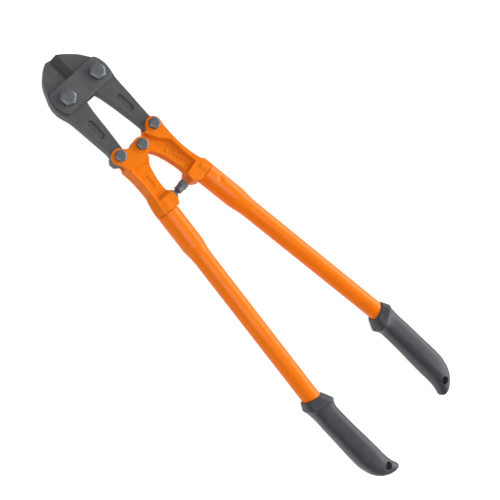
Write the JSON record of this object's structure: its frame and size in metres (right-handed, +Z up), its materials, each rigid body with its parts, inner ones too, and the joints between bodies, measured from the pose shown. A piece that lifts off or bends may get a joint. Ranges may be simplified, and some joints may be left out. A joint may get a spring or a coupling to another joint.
{
  "type": "bolt cutters",
  "caption": "Compound-lever bolt cutters with centre-cut jaws, paired strap plates, forked cast handle heads, tubular handles and moulded grips.",
  "frame": {"origin": "middle of the bounding box's footprint, at the height of the lowest point, with the tool lying flat", "axes": "+Y along the tool towards the jaw tips, +Z up, square to the flat of the jaws, +X to the right as seen from above"},
  "size_m": [0.1718, 0.5994, 0.0349],
  "materials": {
    "strap": "satin black oxide",
    "jaw": "dark forged steel, satin",
    "fastener": "dark zinc, semi-gloss",
    "head_paint": "orange enamel over a casting",
    "tube_paint": "gloss orange enamel",
    "grip": "satin charcoal"
  },
  "bodies": {
    "straps": {"strap_front": "strap", "strap_rear": "strap", "jaw_bolt_left": "fastener", "jaw_bolt_right": "fastener", "jaw_nut_left": "fastener", "jaw_nut_right": "fastener"},
    "left_jaw": {"jaw_left": "jaw"},
    "right_jaw": {"jaw_right": "jaw"},
    "left_handle": {"handle_head_left": "head_paint", "tail_bolt_left": "fastener", "tail_nut_left": "fastener", "centre_bolt": "fastener", "centre_nut": "fastener", "stop_bolt": "fastener", "stop_jam_nut": "fastener", "handle_tube_left": "tube_paint", "grip_left": "grip"},
    "right_handle": {"handle_head_right": "head_paint", "tail_bolt_right": "fastener", "tail_nut_right": "fastener", "handle_tube_right": "tube_paint", "grip_right": "grip"}
  },
  "joints": [
    {"name": "left_jaw_pivot", "type": "hinge", "parent": "straps", "child": "left_jaw", "pos_m": [-0.02085, 0.2584, 0.017], "axis": [0, 0, 1], "range_deg": [-0.3, 4.75]},
    {"name": "right_jaw_pivot", "type": "hinge", "parent": "straps", "child": "right_jaw", "pos_m": [0.02355, 0.2584, 0.017], "axis": [0, 0, 1], "range_deg": [-4.75, 0.3]},
    {"name": "left_handle_pivot", "type": "hinge", "parent": "left_jaw", "child": "left_handle", "pos_m": [-0.02575, 0.1785, 0.017], "axis": [0, 0, 1], "range_deg": [-34.7, 1.95]},
    {"name": "right_handle_pivot", "type": "hinge", "parent": "right_jaw", "child": "right_handle", "pos_m": [0.02845, 0.1785, 0.017], "axis": [0, 0, 1], "range_deg": [-1.96, 34.71]}
  ],
  "couplings": [
    {"joint": "right_handle_pivot", "follows": "left_handle_pivot", "ratio": -1},
    {"joint": "left_jaw_pivot", "follows": "left_handle_pivot", "ratio": -0.1356},
    {"joint": "right_jaw_pivot", "follows": "left_handle_pivot", "ratio": 0.1356}
  ]
}
